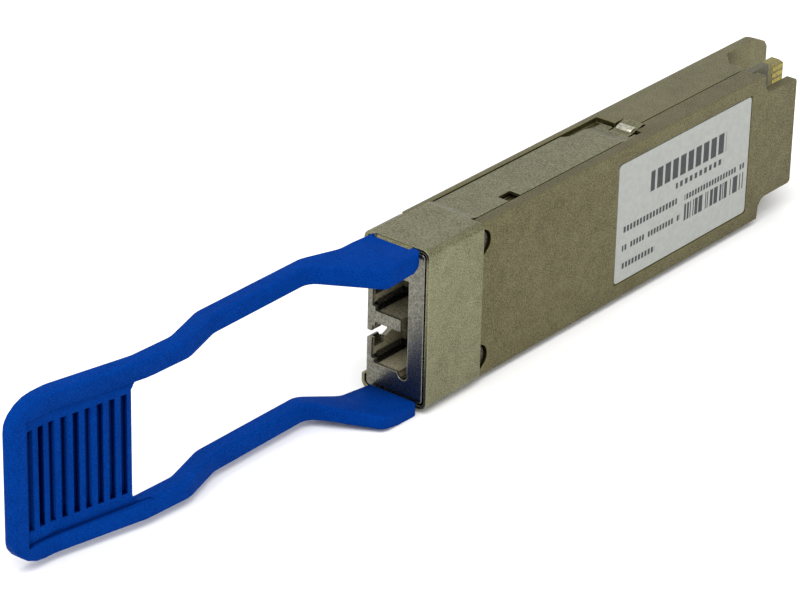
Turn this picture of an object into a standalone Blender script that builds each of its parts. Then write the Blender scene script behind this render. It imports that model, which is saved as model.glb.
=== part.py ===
"""Pluggable optical transceiver with two fibre ports, a sprung latch slider and a pull tab.

The module stands on one narrow side.  Its length runs along X: the pull tab points to -X and the
card-edge contacts to +X.  Its thickness is along Y, with the labelled cover on -Y.  Its width is up.
Everything is modelled in a module frame whose origin is the middle of the nose's front face.
"""
import math

import bmesh
import bpy
from mathutils import Matrix, Vector

MM = 0.001

# Driving sizes, in millimetres
BODY_WIDTH = 18.35          # along Z
BODY_THICKNESS = 8.5        # along Y
BODY_LENGTH = 73.25         # nose front to the end of the top shell
TAB_REACH = 53.0            # nose front to the end of the pull tab
FIT = 0.25                  # gap between neighbouring pieces
SEAM = 0.2                  # gap between the two half shells

SHEET = 0.4                 # slider sheet thickness
SLEEVE_LENGTH = 9.2         # sleeve along the nose
SLEEVE_PROUD_SIDE = 0.25    # sleeve beyond the body's narrow sides
SLEEVE_PROUD_NEAR = 0.45    # sleeve beyond the labelled face
SLEEVE_PROUD_FAR = -0.1     # the folded edges lie just inside the far face
FLANGE_LENGTH = 5.4         # folded edges on the far face, along X
FLANGE_DROP = 1.7
BEND_RADIUS = 0.9

FAR_PLATE = 1.4             # top shell plate
COVER_PLATE = 1.15          # bottom cover plate
FRONT_WALL = 3.2            # side walls beside the optics
SEAM_Y = -1.35              # where the half shells meet on the narrow sides
SHELL_START = 6.0           # both half shells start here, behind the cast nose
WALL_STEP = 41.5            # side walls turn thin here
WALL_END = BODY_LENGTH - 10.75      # side walls end here
TONGUE_END = BODY_LENGTH - 4.05     # bottom cover's tongue
TONGUE_WIDTH = 13.45
TONGUE_FILLET = 2.3
REAR_CHAMFER = 2.6
FAR_EDGE = 0.45             # softened long edges
NEAR_EDGE = 0.25

ARM_NEAR = -2.68            # slider arm edges, along Y
ARM_FAR = 3.15
ARM_FAR_REAR = 2.4
ARM_NARROWS = 32.8
EAR_END = 39.5
TIP_END = 41.6
TIP_NEAR = -1.9
TIP_FAR = 0.6
SLIT = 0.25
RECESS_DEPTH = 0.7
RECESS_END = 40.0
DIP = 0.35                  # how far the arm's rear end sits lower than the arm
WINDOW_START = 15.9         # notch in the arm's near edge
WINDOW_LENGTH = 2.2
WINDOW_DEPTH = 1.5

SPRING_START = 20.0         # spring pocket
SPRING_POCKET = 10.0
SPRING_POCKET_DEPTH = 1.9
SPRING_POCKET_HALF = 0.95
SPRING_RADIUS = 0.5
SPRING_WIRE = 0.28
SPRING_TURNS = 9
LUG_THICKNESS = 0.4

PORT_PITCH = 6.25           # fibre port spacing
PORT_CENTER = -0.45         # middle of the port pair, along Z
PORT_HEIGHT = 4.9
PORT_NEAR = -2.0
PORT_FAR = 2.5
PORT_DEPTH = 8.3            # the port block's length
KEYWAY_FAR = 2.9
KEYWAY_HEIGHT = 3.9
KEYWAY_DEPTH = 5.2
DIVIDER_NEAR = -0.95        # the divider's near end
FERRULE_Y = 0.25
FERRULE_BORE = 0.66
NOSE_BULGE = 0.45           # how far the port block rises into the top shell's plate
BARREL_RADIUS = 1.45
BARREL_START = 5.0
BARREL_LENGTH = 9.0

SCREW_X = 9.5
SCREW_INSET = 2.3           # from the narrow sides
SCREW_HEAD_RADIUS = 1.3
SCREW_HEAD = 0.5
SCREW_SHANK_RADIUS = 0.6
SCREW_LENGTH = 5.2
SCREW_RECESS = 0.85

BOARD_THICKNESS = 1.0
BOARD_WIDTH = 16.4
BOARD_NARROW = 10.8
BOARD_START = 27.5
BOARD_END = BODY_LENGTH - 2.55
BOARD_NEAR = -1.4           # board surface on the labelled side

OPTICS_START = 16.5
OPTICS_LENGTH = 8.6
OPTICS_WIDTH = 5.2
OPTICS_NEAR = -2.2
OPTICS_FAR = 1.8
FLEX_THICKNESS = 0.15

LABEL_START = 34.2
LABEL_LENGTH = WALL_END - LABEL_START - 2.6
LABEL_HEIGHT = 14.7
LABEL_THICKNESS = 0.12
LABEL_POCKET = 0.2

TAB_HALF = BODY_WIDTH / 2 - 0.125   # half the tab's height, along its arms
TAB_ARM = 2.1               # tab arm thickness, along Z
ROOT_MIDDLE = BODY_WIDTH / 2 - 0.175    # middle of each root, from the module's middle
ROOT_THICKNESS = 1.3
TAB_DROOP = 0.25            # the roots hang this much low
TAB_WINDOW = 37.7           # nose front to the grip's edge
TAB_CORNER = 4.4
TAB_RIM = 2.0
TAB_WEB_DROP = 0.5
GROOVES = 9
GROOVE_PITCH = 1.42
GROOVE_WIDTH = 0.7
GROOVE_DEPTH = 0.55
GROOVE_HALF = 5.6
TONGUE_REACH = 5.0          # slider tongue inside the tab's root
TONGUE_HALF = 2.4
TONGUE_SHEET = 0.3
TONGUE_FIT = 0.12           # gap round each tongue

# Places that follow from the sizes
H = BODY_WIDTH / 2
T = BODY_THICKNESS / 2
SLEEVE_NEAR = -T - SLEEVE_PROUD_NEAR
SLEEVE_FAR = T + SLEEVE_PROUD_FAR
SLEEVE_TOP = H + SLEEVE_PROUD_SIDE
CORE_TOP = SLEEVE_TOP - SHEET - FIT
CORE_NEAR = SLEEVE_NEAR + SHEET + FIT
CORE_FAR = SLEEVE_FAR - SHEET - FIT
CORE_END = SLEEVE_LENGTH + FIT
FAR_INNER = T - FAR_PLATE
COVER_INNER = -T + COVER_PLATE
RECESS_NEAR = ARM_NEAR - FIT
RECESS_FAR = ARM_FAR + FIT
ARM_MID = H - SHEET / 2 - 0.05
TAB_FAR = 5.8
PORTS = (PORT_CENTER - PORT_PITCH / 2, PORT_CENTER + PORT_PITCH / 2)
PAST = 2.0                  # how far a cutter runs past what it cuts


def clear_scene():
    for thing in list(bpy.data.objects):
        bpy.data.objects.remove(thing, do_unlink=True)


def material(name, colour, roughness, metallic):
    made = bpy.data.materials.new(name)
    made.use_nodes = True
    shader = made.node_tree.nodes["Principled BSDF"]
    shader.inputs["Base Color"].default_value = (*colour, 1.0)
    shader.inputs["Roughness"].default_value = roughness
    shader.inputs["Metallic"].default_value = metallic
    return made


def place(name, mesh, frame, finish=None):
    """Makes an object from a mesh, in the parts or, without a finish, in the cutters."""
    thing = bpy.data.objects.new(name, mesh)
    thing.parent = frame
    if finish is None:
        cutters.objects.link(thing)
        thing.hide_render = True
        thing.display_type = "WIRE"
    else:
        parts.objects.link(thing)
        mesh.materials.clear()
        mesh.materials.append(finish)
    return thing


def box_mesh(name, low, high):
    shape = bmesh.new()
    bmesh.ops.create_cube(shape, size=1.0)
    for vert in shape.verts:
        vert.co = [(low[i] + (vert.co[i] + 0.5) * (high[i] - low[i])) * MM for i in range(3)]
    return finished(name, shape)


def cylinder_mesh(name, start, end, radius, sides=24):
    """A cylinder between two points, in millimetres."""
    shape = bmesh.new()
    first, last = Vector(start), Vector(end)
    axis = last - first
    bmesh.ops.create_cone(shape, cap_ends=True, segments=sides, radius1=radius, radius2=radius,
                          depth=axis.length)
    turn = axis.to_track_quat("Z", "Y").to_matrix().to_4x4()
    where = Matrix.Scale(MM, 4) @ Matrix.Translation((first + last) / 2) @ turn
    bmesh.ops.transform(shape, matrix=where, verts=shape.verts)
    return finished(name, shape)


def finished(name, shape):
    mesh = bpy.data.meshes.new(name)
    shape.to_mesh(mesh)
    shape.free()
    return mesh


TURNS = {
    "X": Matrix(((0, 0, 1), (1, 0, 0), (0, 1, 0))),     # outline lies in YZ
    "Y": Matrix(((1, 0, 0), (0, 0, -1), (0, 1, 0))),    # outline lies in XZ
    "Z": Matrix.Identity(3),                            # outline lies in XY
}


def prism_mesh(name, outline, axis, low, high):
    """A flat outline, in millimetres, raised along an axis from low to high."""
    curve = bpy.data.curves.new(name + "_outline", "CURVE")
    curve.dimensions = "2D"
    curve.fill_mode = "BOTH"
    curve.extrude = (high - low) / 2 * MM
    line = curve.splines.new("POLY")
    line.points.add(len(outline) - 1)
    for point, (u, v) in zip(line.points, outline):
        point.co = (u * MM, v * MM, 0.0, 1.0)
    line.use_cyclic_u = True
    guide = bpy.data.objects.new(name + "_outline", curve)
    cutters.objects.link(guide)
    bpy.context.view_layer.update()
    ready = guide.evaluated_get(bpy.context.evaluated_depsgraph_get())
    mesh = bpy.data.meshes.new_from_object(ready)
    bpy.data.objects.remove(guide, do_unlink=True)
    mesh.name = name
    shape = bmesh.new()
    shape.from_mesh(mesh)
    bmesh.ops.remove_doubles(shape, verts=shape.verts, dist=0.001 * MM)
    turn = TURNS[axis].to_4x4()
    middle = Vector([(low + high) / 2 * MM if letter == axis else 0.0 for letter in "XYZ"])
    bmesh.ops.transform(shape, matrix=Matrix.Translation(middle) @ turn, verts=shape.verts)
    bmesh.ops.recalc_face_normals(shape, faces=shape.faces)
    shape.to_mesh(mesh)
    shape.free()
    return mesh


def rounded(corners, steps=4):
    """An outline from corners (u, v, radius), each rounded by an arc."""
    points = []
    count = len(corners)
    for i, (u, v, radius) in enumerate(corners):
        here = Vector((u, v))
        back = Vector(corners[i - 1][:2]) - here
        ahead = Vector(corners[(i + 1) % count][:2]) - here
        if radius <= 0:
            points.append((u, v))
            continue
        half = back.angle(ahead) / 2
        reach = min(radius / math.tan(half), 0.49 * back.length, 0.49 * ahead.length)
        radius = reach * math.tan(half)
        first = here + back.normalized() * reach
        last = here + ahead.normalized() * reach
        centre = here + (back.normalized() + ahead.normalized()).normalized() * radius / math.sin(half)
        start = math.atan2(first.y - centre.y, first.x - centre.x)
        sweep = math.atan2(last.y - centre.y, last.x - centre.x) - start
        sweep = (sweep + math.pi) % (2 * math.pi) - math.pi
        for step in range(steps + 1):
            angle = start + sweep * step / steps
            points.append((centre.x + radius * math.cos(angle), centre.y + radius * math.sin(angle)))
    return points


def rounded_path(corners, steps=4):
    """An open path, rounded the same way as an outline."""
    ends = [(corners[0][0], corners[0][1], 0), (corners[-1][0], corners[-1][1], 0)]
    return rounded([ends[0], *corners[1:-1], ends[1]], steps)


def strip(path, thickness):
    """The outline of a bent sheet, from its middle line."""
    left, right = [], []
    for i, point in enumerate(path):
        before = Vector(path[max(i - 1, 0)])
        after = Vector(path[min(i + 1, len(path) - 1)])
        along = (after - before).normalized()
        side = Vector((-along.y, along.x)) * thickness / 2
        left.append(tuple(Vector(point) + side))
        right.append(tuple(Vector(point) - side))
    return left + right[::-1]


def combine(target, mesh, operation="DIFFERENCE"):
    """Cuts a shape from a part, or joins one to it, as a modifier."""
    tool = place(target.name + "_tool", mesh, target.parent)
    step = target.modifiers.new(operation.lower(), "BOOLEAN")
    step.operation = operation
    step.solver = "EXACT"
    step.object = tool


def cut_box(target, low, high):
    combine(target, box_mesh("cut", low, high))


def cut_both_sides(target, low, high):
    """Cuts the same box from the upper and the lower narrow side."""
    cut_box(target, low, high)
    cut_box(target, (low[0], low[1], -high[2]), (high[0], high[1], -low[2]))


def soften(target, width, chosen, segments=2):
    """Bevels the edges whose middle, in millimetres, passes a test."""
    shape = bmesh.new()
    shape.from_mesh(target.data)
    weight = shape.edges.layers.float.new("bevel_weight_edge")
    for edge in shape.edges:
        middle = (edge.verts[0].co + edge.verts[1].co) / 2 / MM
        sharp = len(edge.link_faces) == 2 and edge.calc_face_angle(0.0) > math.radians(35)
        edge[weight] = 1.0 if sharp and chosen(middle) else 0.0
    shape.to_mesh(target.data)
    shape.free()
    bevel = target.modifiers.new("soft_edges", "BEVEL")
    bevel.limit_method = "WEIGHT"
    bevel.width = width * MM
    bevel.segments = segments


def smooth(target, angle=35):
    target.data.shade_smooth()
    target.data.set_sharp_from_angle(angle=math.radians(angle))


# ---------------------------------------------------------------- case

def shell_pockets(target, near, far):
    """The hollows that both half shells share: slider recesses, nose pocket and inside."""
    cut_both_sides(target, (0, RECESS_NEAR, H - RECESS_DEPTH), (RECESS_END, RECESS_FAR, H + PAST))
    cut_both_sides(target, (ARM_NARROWS + 1.2, RECESS_NEAR, H - RECESS_DEPTH - DIP),
                   (RECESS_END, ARM_FAR_REAR + FIT, H + PAST))
    cut_both_sides(target, (ARM_NARROWS + 1.2, TIP_NEAR - FIT, H - RECESS_DEPTH - DIP),
                   (TIP_END + FIT, TIP_FAR + FIT, H + PAST))
    cut_both_sides(target, (0, near, CORE_TOP), (CORE_END, RECESS_FAR, H + PAST))
    pocket = NOSE_MIDDLE_HALF + FIT
    cut_box(target, (0, near, -pocket), (PORT_DEPTH + FIT, far + NOSE_BULGE, pocket))
    pocket = NOSE_BACK_HALF + FIT
    cut_box(target, (0, near, -pocket), (OPTICS_START - FIT, far, pocket))
    inside = H - FRONT_WALL
    cut_box(target, (OPTICS_START - 1, near, -inside), (WALL_STEP, far, inside))
    inside = BOARD_WIDTH / 2 + FIT
    cut_box(target, (WALL_STEP - FIT, near, -inside), (BODY_LENGTH + PAST, far, inside))


NOSE_MIDDLE_HALF = PORT_PITCH / 2 + PORT_HEIGHT / 2 + abs(PORT_CENTER) + 0.9
NOSE_BACK_HALF = H - 3.6


def screw_places():
    for side in (-1, 1):
        yield SCREW_X, side * (H - SCREW_INSET)


def make_top_shell(frame, finish):
    outline = [(SHELL_START, -H), (BODY_LENGTH - REAR_CHAMFER, -H),
               (BODY_LENGTH - 0.55, -H + 0.35 * REAR_CHAMFER), (BODY_LENGTH, -H + 0.65 * REAR_CHAMFER)]
    outline += [(x, -z) for x, z in reversed(outline)]
    seam = SEAM_Y + SEAM / 2
    shell = place("top_shell", prism_mesh("top_shell", outline, "Y", seam, T), frame, finish)
    soften(shell, FAR_EDGE, lambda at: at.y > T - 0.01, 3)
    shell_pockets(shell, seam - PAST, FAR_INNER)
    cut_box(shell, (0, -T, -H - PAST), (SHELL_START, T + PAST, H + PAST))
    ramp = [(WALL_END, seam - PAST), (WALL_END, 0.9), (WALL_END + 2.2, FAR_INNER),
            (BODY_LENGTH + PAST, FAR_INNER), (BODY_LENGTH + PAST, seam - PAST)]
    combine(shell, prism_mesh("ramp", ramp, "Z", -H - PAST, H + PAST))
    pocket = (SPRING_START, -SPRING_POCKET_HALF, H - RECESS_DEPTH - SPRING_POCKET_DEPTH)
    cut_both_sides(shell, pocket, (SPRING_START + SPRING_POCKET, SPRING_POCKET_HALF, H + PAST))
    for x, z in screw_places():
        tip = CORE_NEAR + SCREW_LENGTH + 2 * FIT
        combine(shell, cylinder_mesh("hole", (x, -T, z), (x, tip, z), SCREW_SHANK_RADIUS + FIT))
    return shell


def make_bottom_cover(frame, finish):
    half = TONGUE_WIDTH / 2
    outline = rounded([(SHELL_START, -H, 0), (WALL_END, -H, 0), (WALL_END + 0.3, -half, TONGUE_FILLET),
                       (TONGUE_END, -half, 0.5), (TONGUE_END, half, 0.5),
                       (WALL_END + 0.3, half, TONGUE_FILLET), (WALL_END, H, 0), (SHELL_START, H, 0)], 6)
    seam = SEAM_Y - SEAM / 2
    cover = place("bottom_cover", prism_mesh("bottom_cover", outline, "Y", -T, seam), frame, finish)
    soften(cover, NEAR_EDGE, lambda at: at.y < -T + 0.01)
    shell_pockets(cover, COVER_INNER, seam + PAST)
    cut_box(cover, (0, -T - PAST, -H - PAST), (CORE_END, CORE_NEAR, H + PAST))
    cut_both_sides(cover, (0, -T - PAST, CORE_TOP), (CORE_END, 0, H + PAST))
    cut_box(cover, (WALL_END - 0.6, COVER_INNER, -H - PAST), (TONGUE_END + PAST, 0, H + PAST))
    label_half = LABEL_HEIGHT / 2 + 0.15
    cut_box(cover, (LABEL_START - 0.15, -T - PAST, -label_half),
            (LABEL_START + LABEL_LENGTH + 0.15, -T + LABEL_POCKET, label_half))
    for x, z in screw_places():
        floor = CORE_NEAR + SCREW_RECESS
        combine(cover, cylinder_mesh("recess", (x, -T - PAST, z), (x, floor, z),
                                     SCREW_HEAD_RADIUS + FIT, 32))
        combine(cover, cylinder_mesh("hole", (x, -T - PAST, z), (x, 0, z), SCREW_SHANK_RADIUS + FIT))
    return cover


def make_screws(frame, finish):
    for name, (x, z) in zip(("front_screw_lower", "front_screw_upper"), screw_places()):
        head = CORE_NEAR + SCREW_RECESS - FIT - SCREW_HEAD
        screw = place(name, cylinder_mesh(name, (x, head, z), (x, head + SCREW_HEAD, z),
                                          SCREW_HEAD_RADIUS, 32), frame, finish)
        combine(screw, cylinder_mesh("shank", (x, head + SCREW_HEAD / 2, z),
                                     (x, head + SCREW_LENGTH, z), SCREW_SHANK_RADIUS), "UNION")
        star = []
        for i in range(12):
            reach = 0.35 if i % 2 else 0.6
            angle = math.radians(30 * i)
            star.append((x + reach * math.cos(angle), z + reach * math.sin(angle)))
        combine(screw, prism_mesh("socket", star, "Y", head - PAST, head + 0.3))
        smooth(screw)


def make_label(frame, finish):
    floor = -T + LABEL_POCKET - 0.03
    outline = rounded([(LABEL_START, -LABEL_HEIGHT / 2, 0.5),
                       (LABEL_START + LABEL_LENGTH, -LABEL_HEIGHT / 2, 0.5),
                       (LABEL_START + LABEL_LENGTH, LABEL_HEIGHT / 2, 0.5),
                       (LABEL_START, LABEL_HEIGHT / 2, 0.5)], 3)
    place("label", prism_mesh("label", outline, "Y", floor - LABEL_THICKNESS, floor), frame, finish)


# ---------------------------------------------------------------- nose and fibre side

def make_receptacle(frame, finish):
    nose = place("lc_receptacle", box_mesh("lc_receptacle", (0, CORE_NEAR, -CORE_TOP),
                                           (13.0, CORE_FAR, CORE_TOP)), frame, finish)
    soften(nose, 0.35, lambda at: abs(at.z) > CORE_TOP - 0.01 and abs(at.y) > CORE_FAR - 0.01)
    step = SHELL_START - FIT
    inner = FAR_INNER + NOSE_BULGE - FIT
    cut_box(nose, (step, -T - PAST, -H), (20, PORT_NEAR - 0.6, H))
    cut_box(nose, (step, inner, -H), (20, T + PAST, H))
    cut_both_sides(nose, (step, -T, NOSE_MIDDLE_HALF), (20, T, H + PAST))
    cut_both_sides(nose, (PORT_DEPTH, -T, NOSE_BACK_HALF), (20, T, H + PAST))
    cut_box(nose, (PORT_DEPTH, FAR_INNER - FIT, -H), (20, T, H))
    divider = (PORT_PITCH - PORT_HEIGHT) / 2
    for z in PORTS:
        half = PORT_HEIGHT / 2
        floor = z - half
        cut_box(nose, (-PAST, PORT_NEAR, floor), (PORT_DEPTH - 1.2, PORT_FAR, z + half))
        cut_box(nose, (-PAST, PORT_FAR - 0.5, z - KEYWAY_HEIGHT / 2),
                (KEYWAY_DEPTH, KEYWAY_FAR, z + KEYWAY_HEIGHT / 2))
        cut_box(nose, (0.9, KEYWAY_FAR - 0.6, floor), (5.4, KEYWAY_FAR + 0.3, floor + 0.9))
        cut_box(nose, (0.5, KEYWAY_FAR - 0.1, z - 0.85), (2.1, KEYWAY_FAR + 0.35, z + 0.85))
        combine(nose, cylinder_mesh("bore", (PORT_DEPTH - PAST, FERRULE_Y, z), (20, FERRULE_Y, z),
                                    BARREL_RADIUS + FIT))
    middle = PORT_CENTER
    cut_box(nose, (-PAST, PORT_NEAR, middle - divider - 0.1),
            (2.6, DIVIDER_NEAR, middle + divider + 0.1))
    slit = middle - divider - 1.6
    cut_box(nose, (-PAST, PORT_FAR, slit - 0.45), (1.8, T + PAST, slit + 0.45))
    combine(nose, cylinder_mesh("split", (2.5, PORT_FAR, slit), (2.5, T + PAST, slit), 1.1, 8))
    corner = PORTS[0] - PORT_HEIGHT / 2
    combine(nose, cylinder_mesh("relief", (-PAST, PORT_NEAR + 0.62, corner),
                                (1.6, PORT_NEAR + 0.62, corner), 0.72, 16))


def make_barrels(frame, finish):
    for name, z in zip(("ferrule_sleeve_rx", "ferrule_sleeve_tx"), PORTS):
        end = BARREL_START + BARREL_LENGTH
        barrel = place(name, cylinder_mesh(name, (BARREL_START, FERRULE_Y, z), (end, FERRULE_Y, z),
                                           BARREL_RADIUS, 28), frame, finish)
        combine(barrel, cylinder_mesh("bore", (0, FERRULE_Y, z), (end - 1.5, FERRULE_Y, z),
                                      FERRULE_BORE, 20))
        smooth(barrel)


def optics_middles():
    half = OPTICS_WIDTH / 2 + FIT
    return zip(("receiver", "transmitter"), (-half, half), PORTS)


def make_optics(frame, finish, copper):
    for name, z, port in optics_middles():
        low = (OPTICS_START, OPTICS_NEAR, z - OPTICS_WIDTH / 2)
        high = (OPTICS_START + OPTICS_LENGTH, OPTICS_FAR, z + OPTICS_WIDTH / 2)
        optics = place(name + "_optics", box_mesh(name, low, high), frame, finish)
        soften(optics, 0.2, lambda at: True, 1)
        start = BARREL_START + BARREL_LENGTH + FIT
        combine(optics, cylinder_mesh("snout", (start, FERRULE_Y, port),
                                      (OPTICS_START + 1, FERRULE_Y, port), 1.2), "UNION")
        start = OPTICS_START + OPTICS_LENGTH + FIT
        under = BOARD_NEAR - FIT - FLEX_THICKNESS / 2
        path = rounded_path([(start, -0.3, 0), (start + 0.9, -0.3, 0.5), (start + 1.9, under, 0.5),
                             (start + 5.0, under, 0)])
        flex = prism_mesh(name + "_flex", strip(path, FLEX_THICKNESS), "Z", z - 1.8, z + 1.8)
        place(name + "_flex", flex, frame, copper)


# ---------------------------------------------------------------- board and what it carries

def make_board(frame, finish):
    wide, narrow = BOARD_WIDTH / 2, BOARD_NARROW / 2
    step = WALL_STEP + FIT
    half = [(BOARD_START, -narrow, 0), (step, -narrow, 0), (step, -wide, 0),
            (BOARD_END - 1.3, -wide, 0), (BOARD_END, -wide + 0.9, 0)]
    outline = half + [(x, -z, r) for x, z, r in reversed(half)]
    low, high = BOARD_NEAR, BOARD_NEAR + BOARD_THICKNESS
    board = place("main_board", prism_mesh("main_board", rounded(outline), "Y", low, high), frame, finish)
    soften(board, 0.3, lambda at: at.x > BOARD_END - 0.01, 1)


def make_chip(name, frame, finish, x, z, length, width, height, far_side=False):
    start = BOARD_NEAR + BOARD_THICKNESS + FIT if far_side else BOARD_NEAR - FIT - height
    mesh = box_mesh(name, (x, start, z - width / 2), (x + length, start + height, z + width / 2))
    soften(place(name, mesh, frame, finish), 0.1, lambda at: True, 1)


def make_board_parts(frame, black, silver, pad):
    make_chip("laser_driver", frame, black, 32.5, 2.7, 4.2, 4.2, 0.9)
    make_chip("receiver_amplifier", frame, black, 32.5, -2.7, 4.2, 4.2, 0.9)
    make_chip("controller", frame, black, 46.0, 0.0, 6.0, 6.0, 0.9, True)
    make_chip("clock_crystal", frame, silver, 45.0, 4.6, 2.5, 2.0, 0.7)
    make_chip("power_inductor", frame, black, 45.0, -4.4, 3.0, 3.0, 1.0)
    top = BOARD_NEAR + BOARD_THICKNESS + FIT + 0.9 + FIT
    place("thermal_pad_board", box_mesh("pad", (46.5, top, -2.5), (51.5, FAR_INNER - FIT, 2.5)), frame, pad)
    place("thermal_pad_optics", box_mesh("pad", (OPTICS_START + 1, OPTICS_FAR + FIT, -4.5),
                                         (OPTICS_START + OPTICS_LENGTH - 1, FAR_INNER - FIT, 4.5)),
          frame, pad)


# ---------------------------------------------------------------- latch slider, springs and pull tab

def make_slider(frame, finish):
    """A sleeve round the nose, with an arm, a spring lug and a tongue on each narrow side."""
    inset = SHEET / 2
    top = SLEEVE_TOP - inset
    edge = SLEEVE_TOP - FLANGE_DROP
    bend = BEND_RADIUS - inset
    wrap = rounded_path([(SLEEVE_FAR - inset, edge, 0), (SLEEVE_FAR - inset, top, bend),
                         (SLEEVE_NEAR + inset, top, bend), (SLEEVE_NEAR + inset, -top, bend),
                         (SLEEVE_FAR - inset, -top, bend), (SLEEVE_FAR - inset, -edge, 0)], 5)
    slider = place("latch_slider", prism_mesh("latch_slider", strip(wrap, SHEET), "X", 0, SLEEVE_LENGTH),
                   frame, finish)
    cut_both_sides(slider, (FLANGE_LENGTH, ARM_FAR, 0), (SLEEVE_LENGTH + PAST, T + PAST, H + PAST))
    for side in (-1, 1):
        add_arm(slider, side)
        add_tongue(slider, side)
    smooth(slider)


def add_arm(slider, side):
    top = SLEEVE_TOP - SHEET / 2
    arm = rounded_path([(SLEEVE_LENGTH - 1.5, top, 0), (SLEEVE_LENGTH + 0.1, top, 0.5),
                        (SLEEVE_LENGTH + 1.3, ARM_MID, 0.5), (EAR_END - 3.2, ARM_MID, 0.8),
                        (EAR_END - 1.4, ARM_MID - DIP, 0.5), (EAR_END - 0.2, ARM_MID - DIP, 0.4),
                        (TIP_END, H - 0.02, 0)], 3)
    sheet = prism_mesh("arm", strip([(x, side * z) for x, z in arm], SHEET), "Y", ARM_NEAR, ARM_FAR)
    combine(slider, sheet, "UNION")
    taper = [(ARM_NARROWS, ARM_FAR + PAST), (ARM_NARROWS, ARM_FAR), (ARM_NARROWS + 1.0, ARM_FAR_REAR),
             (TIP_END + PAST, ARM_FAR_REAR), (TIP_END + PAST, ARM_FAR + PAST)]
    low, high = sorted((side * (H - PAST), side * (H + PAST)))
    combine(slider, prism_mesh("taper", taper, "Z", low, high))
    for near, far in ((ARM_NEAR - PAST, TIP_NEAR), (TIP_FAR, ARM_FAR + PAST)):
        cut_box(slider, (EAR_END, near, low), (TIP_END + PAST, far, high))
    for near in (TIP_NEAR - SLIT, TIP_FAR):
        cut_box(slider, (EAR_END - 0.9, near, low), (TIP_END + PAST, near + SLIT, high))
    cut_box(slider, (WINDOW_START, ARM_NEAR - PAST, low),
            (WINDOW_START + WINDOW_LENGTH, ARM_NEAR + WINDOW_DEPTH, high))
    lug_x = SPRING_START + SPRING_POCKET - FIT - LUG_THICKNESS
    foot = side * (H - RECESS_DEPTH - SPRING_POCKET_DEPTH + 2 * FIT)
    low, high = sorted((foot, side * ARM_MID))
    combine(slider, box_mesh("lug", (lug_x, -0.7, low), (lug_x + LUG_THICKNESS, 0.7, high)), "UNION")


def add_tongue(slider, side):
    """The tongue steps to the middle of the tab's root, which hangs a little low."""
    top = side * (SLEEVE_TOP - SHEET / 2)
    sunk = side * ROOT_MIDDLE - TAB_DROOP
    tongue = rounded_path([(1.0, top, 0), (0.15, top, 0.15), (-0.35, sunk, 0.15), (-TONGUE_REACH, sunk, 0)], 3)
    combine(slider, prism_mesh("tongue", strip(tongue, TONGUE_SHEET), "Y", -TONGUE_HALF, TONGUE_HALF),
            "UNION")


def make_springs(frame, finish):
    for name, side in (("return_spring_lower", -1), ("return_spring_upper", 1)):
        first = SPRING_START + FIT + SPRING_WIRE / 2
        last = SPRING_START + SPRING_POCKET - 2 * FIT - LUG_THICKNESS - SPRING_WIRE / 2
        middle = side * (H - RECESS_DEPTH - SPRING_POCKET_DEPTH / 2)
        steps = SPRING_TURNS * 10
        curve = bpy.data.curves.new(name, "CURVE")
        curve.dimensions = "3D"
        curve.bevel_depth = SPRING_WIRE / 2 * MM
        curve.bevel_resolution = 1
        curve.use_fill_caps = True
        wire = curve.splines.new("POLY")
        wire.points.add(steps)
        for i, point in enumerate(wire.points):
            angle = 2 * math.pi * SPRING_TURNS * i / steps
            x = first + (last - first) * i / steps
            y, z = SPRING_RADIUS * math.cos(angle), middle + SPRING_RADIUS * math.sin(angle)
            point.co = (x * MM, y * MM, z * MM, 1.0)
        spring = bpy.data.objects.new(name, curve)
        spring.parent = frame
        parts.objects.link(spring)
        curve.materials.append(finish)


def tab_outline():
    """The tab seen along Z: wide root, straight arms, a jog towards the label side, then the grip."""
    end = -TAB_REACH
    near = [(-FIT, -3.9, 0.8), (-5.9, -3.9, 1.2), (-10.2, 3.15, 1.8), (-25.0, 3.0, 4),
            (-30.5, 1.3, 4), (-36.5, 1.6, 4), (end + 5.5, 3.9, 5), (end, 4.1, 0.8)]
    far = [(end, TAB_FAR, 0.9), (end + 6.2, TAB_FAR, 5), (-36.8, 3.6, 5), (-31.2, 3.4, 4),
           (-25.6, 5.1, 4), (-9.3, 5.15, 3), (-5.2, 3.25, 3), (-FIT, 2.9, 0)]
    return rounded(near + far)


def grip_near(x):
    """The grip's near surface, along Y, at a place along X."""
    start, end = (-36.5, 1.6), (-TAB_REACH + 5.5, 3.9)
    share = (x - start[0]) / (end[0] - start[0])
    return start[1] + (end[1] - start[1]) * min(max(share, 0.0), 1.06)


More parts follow.
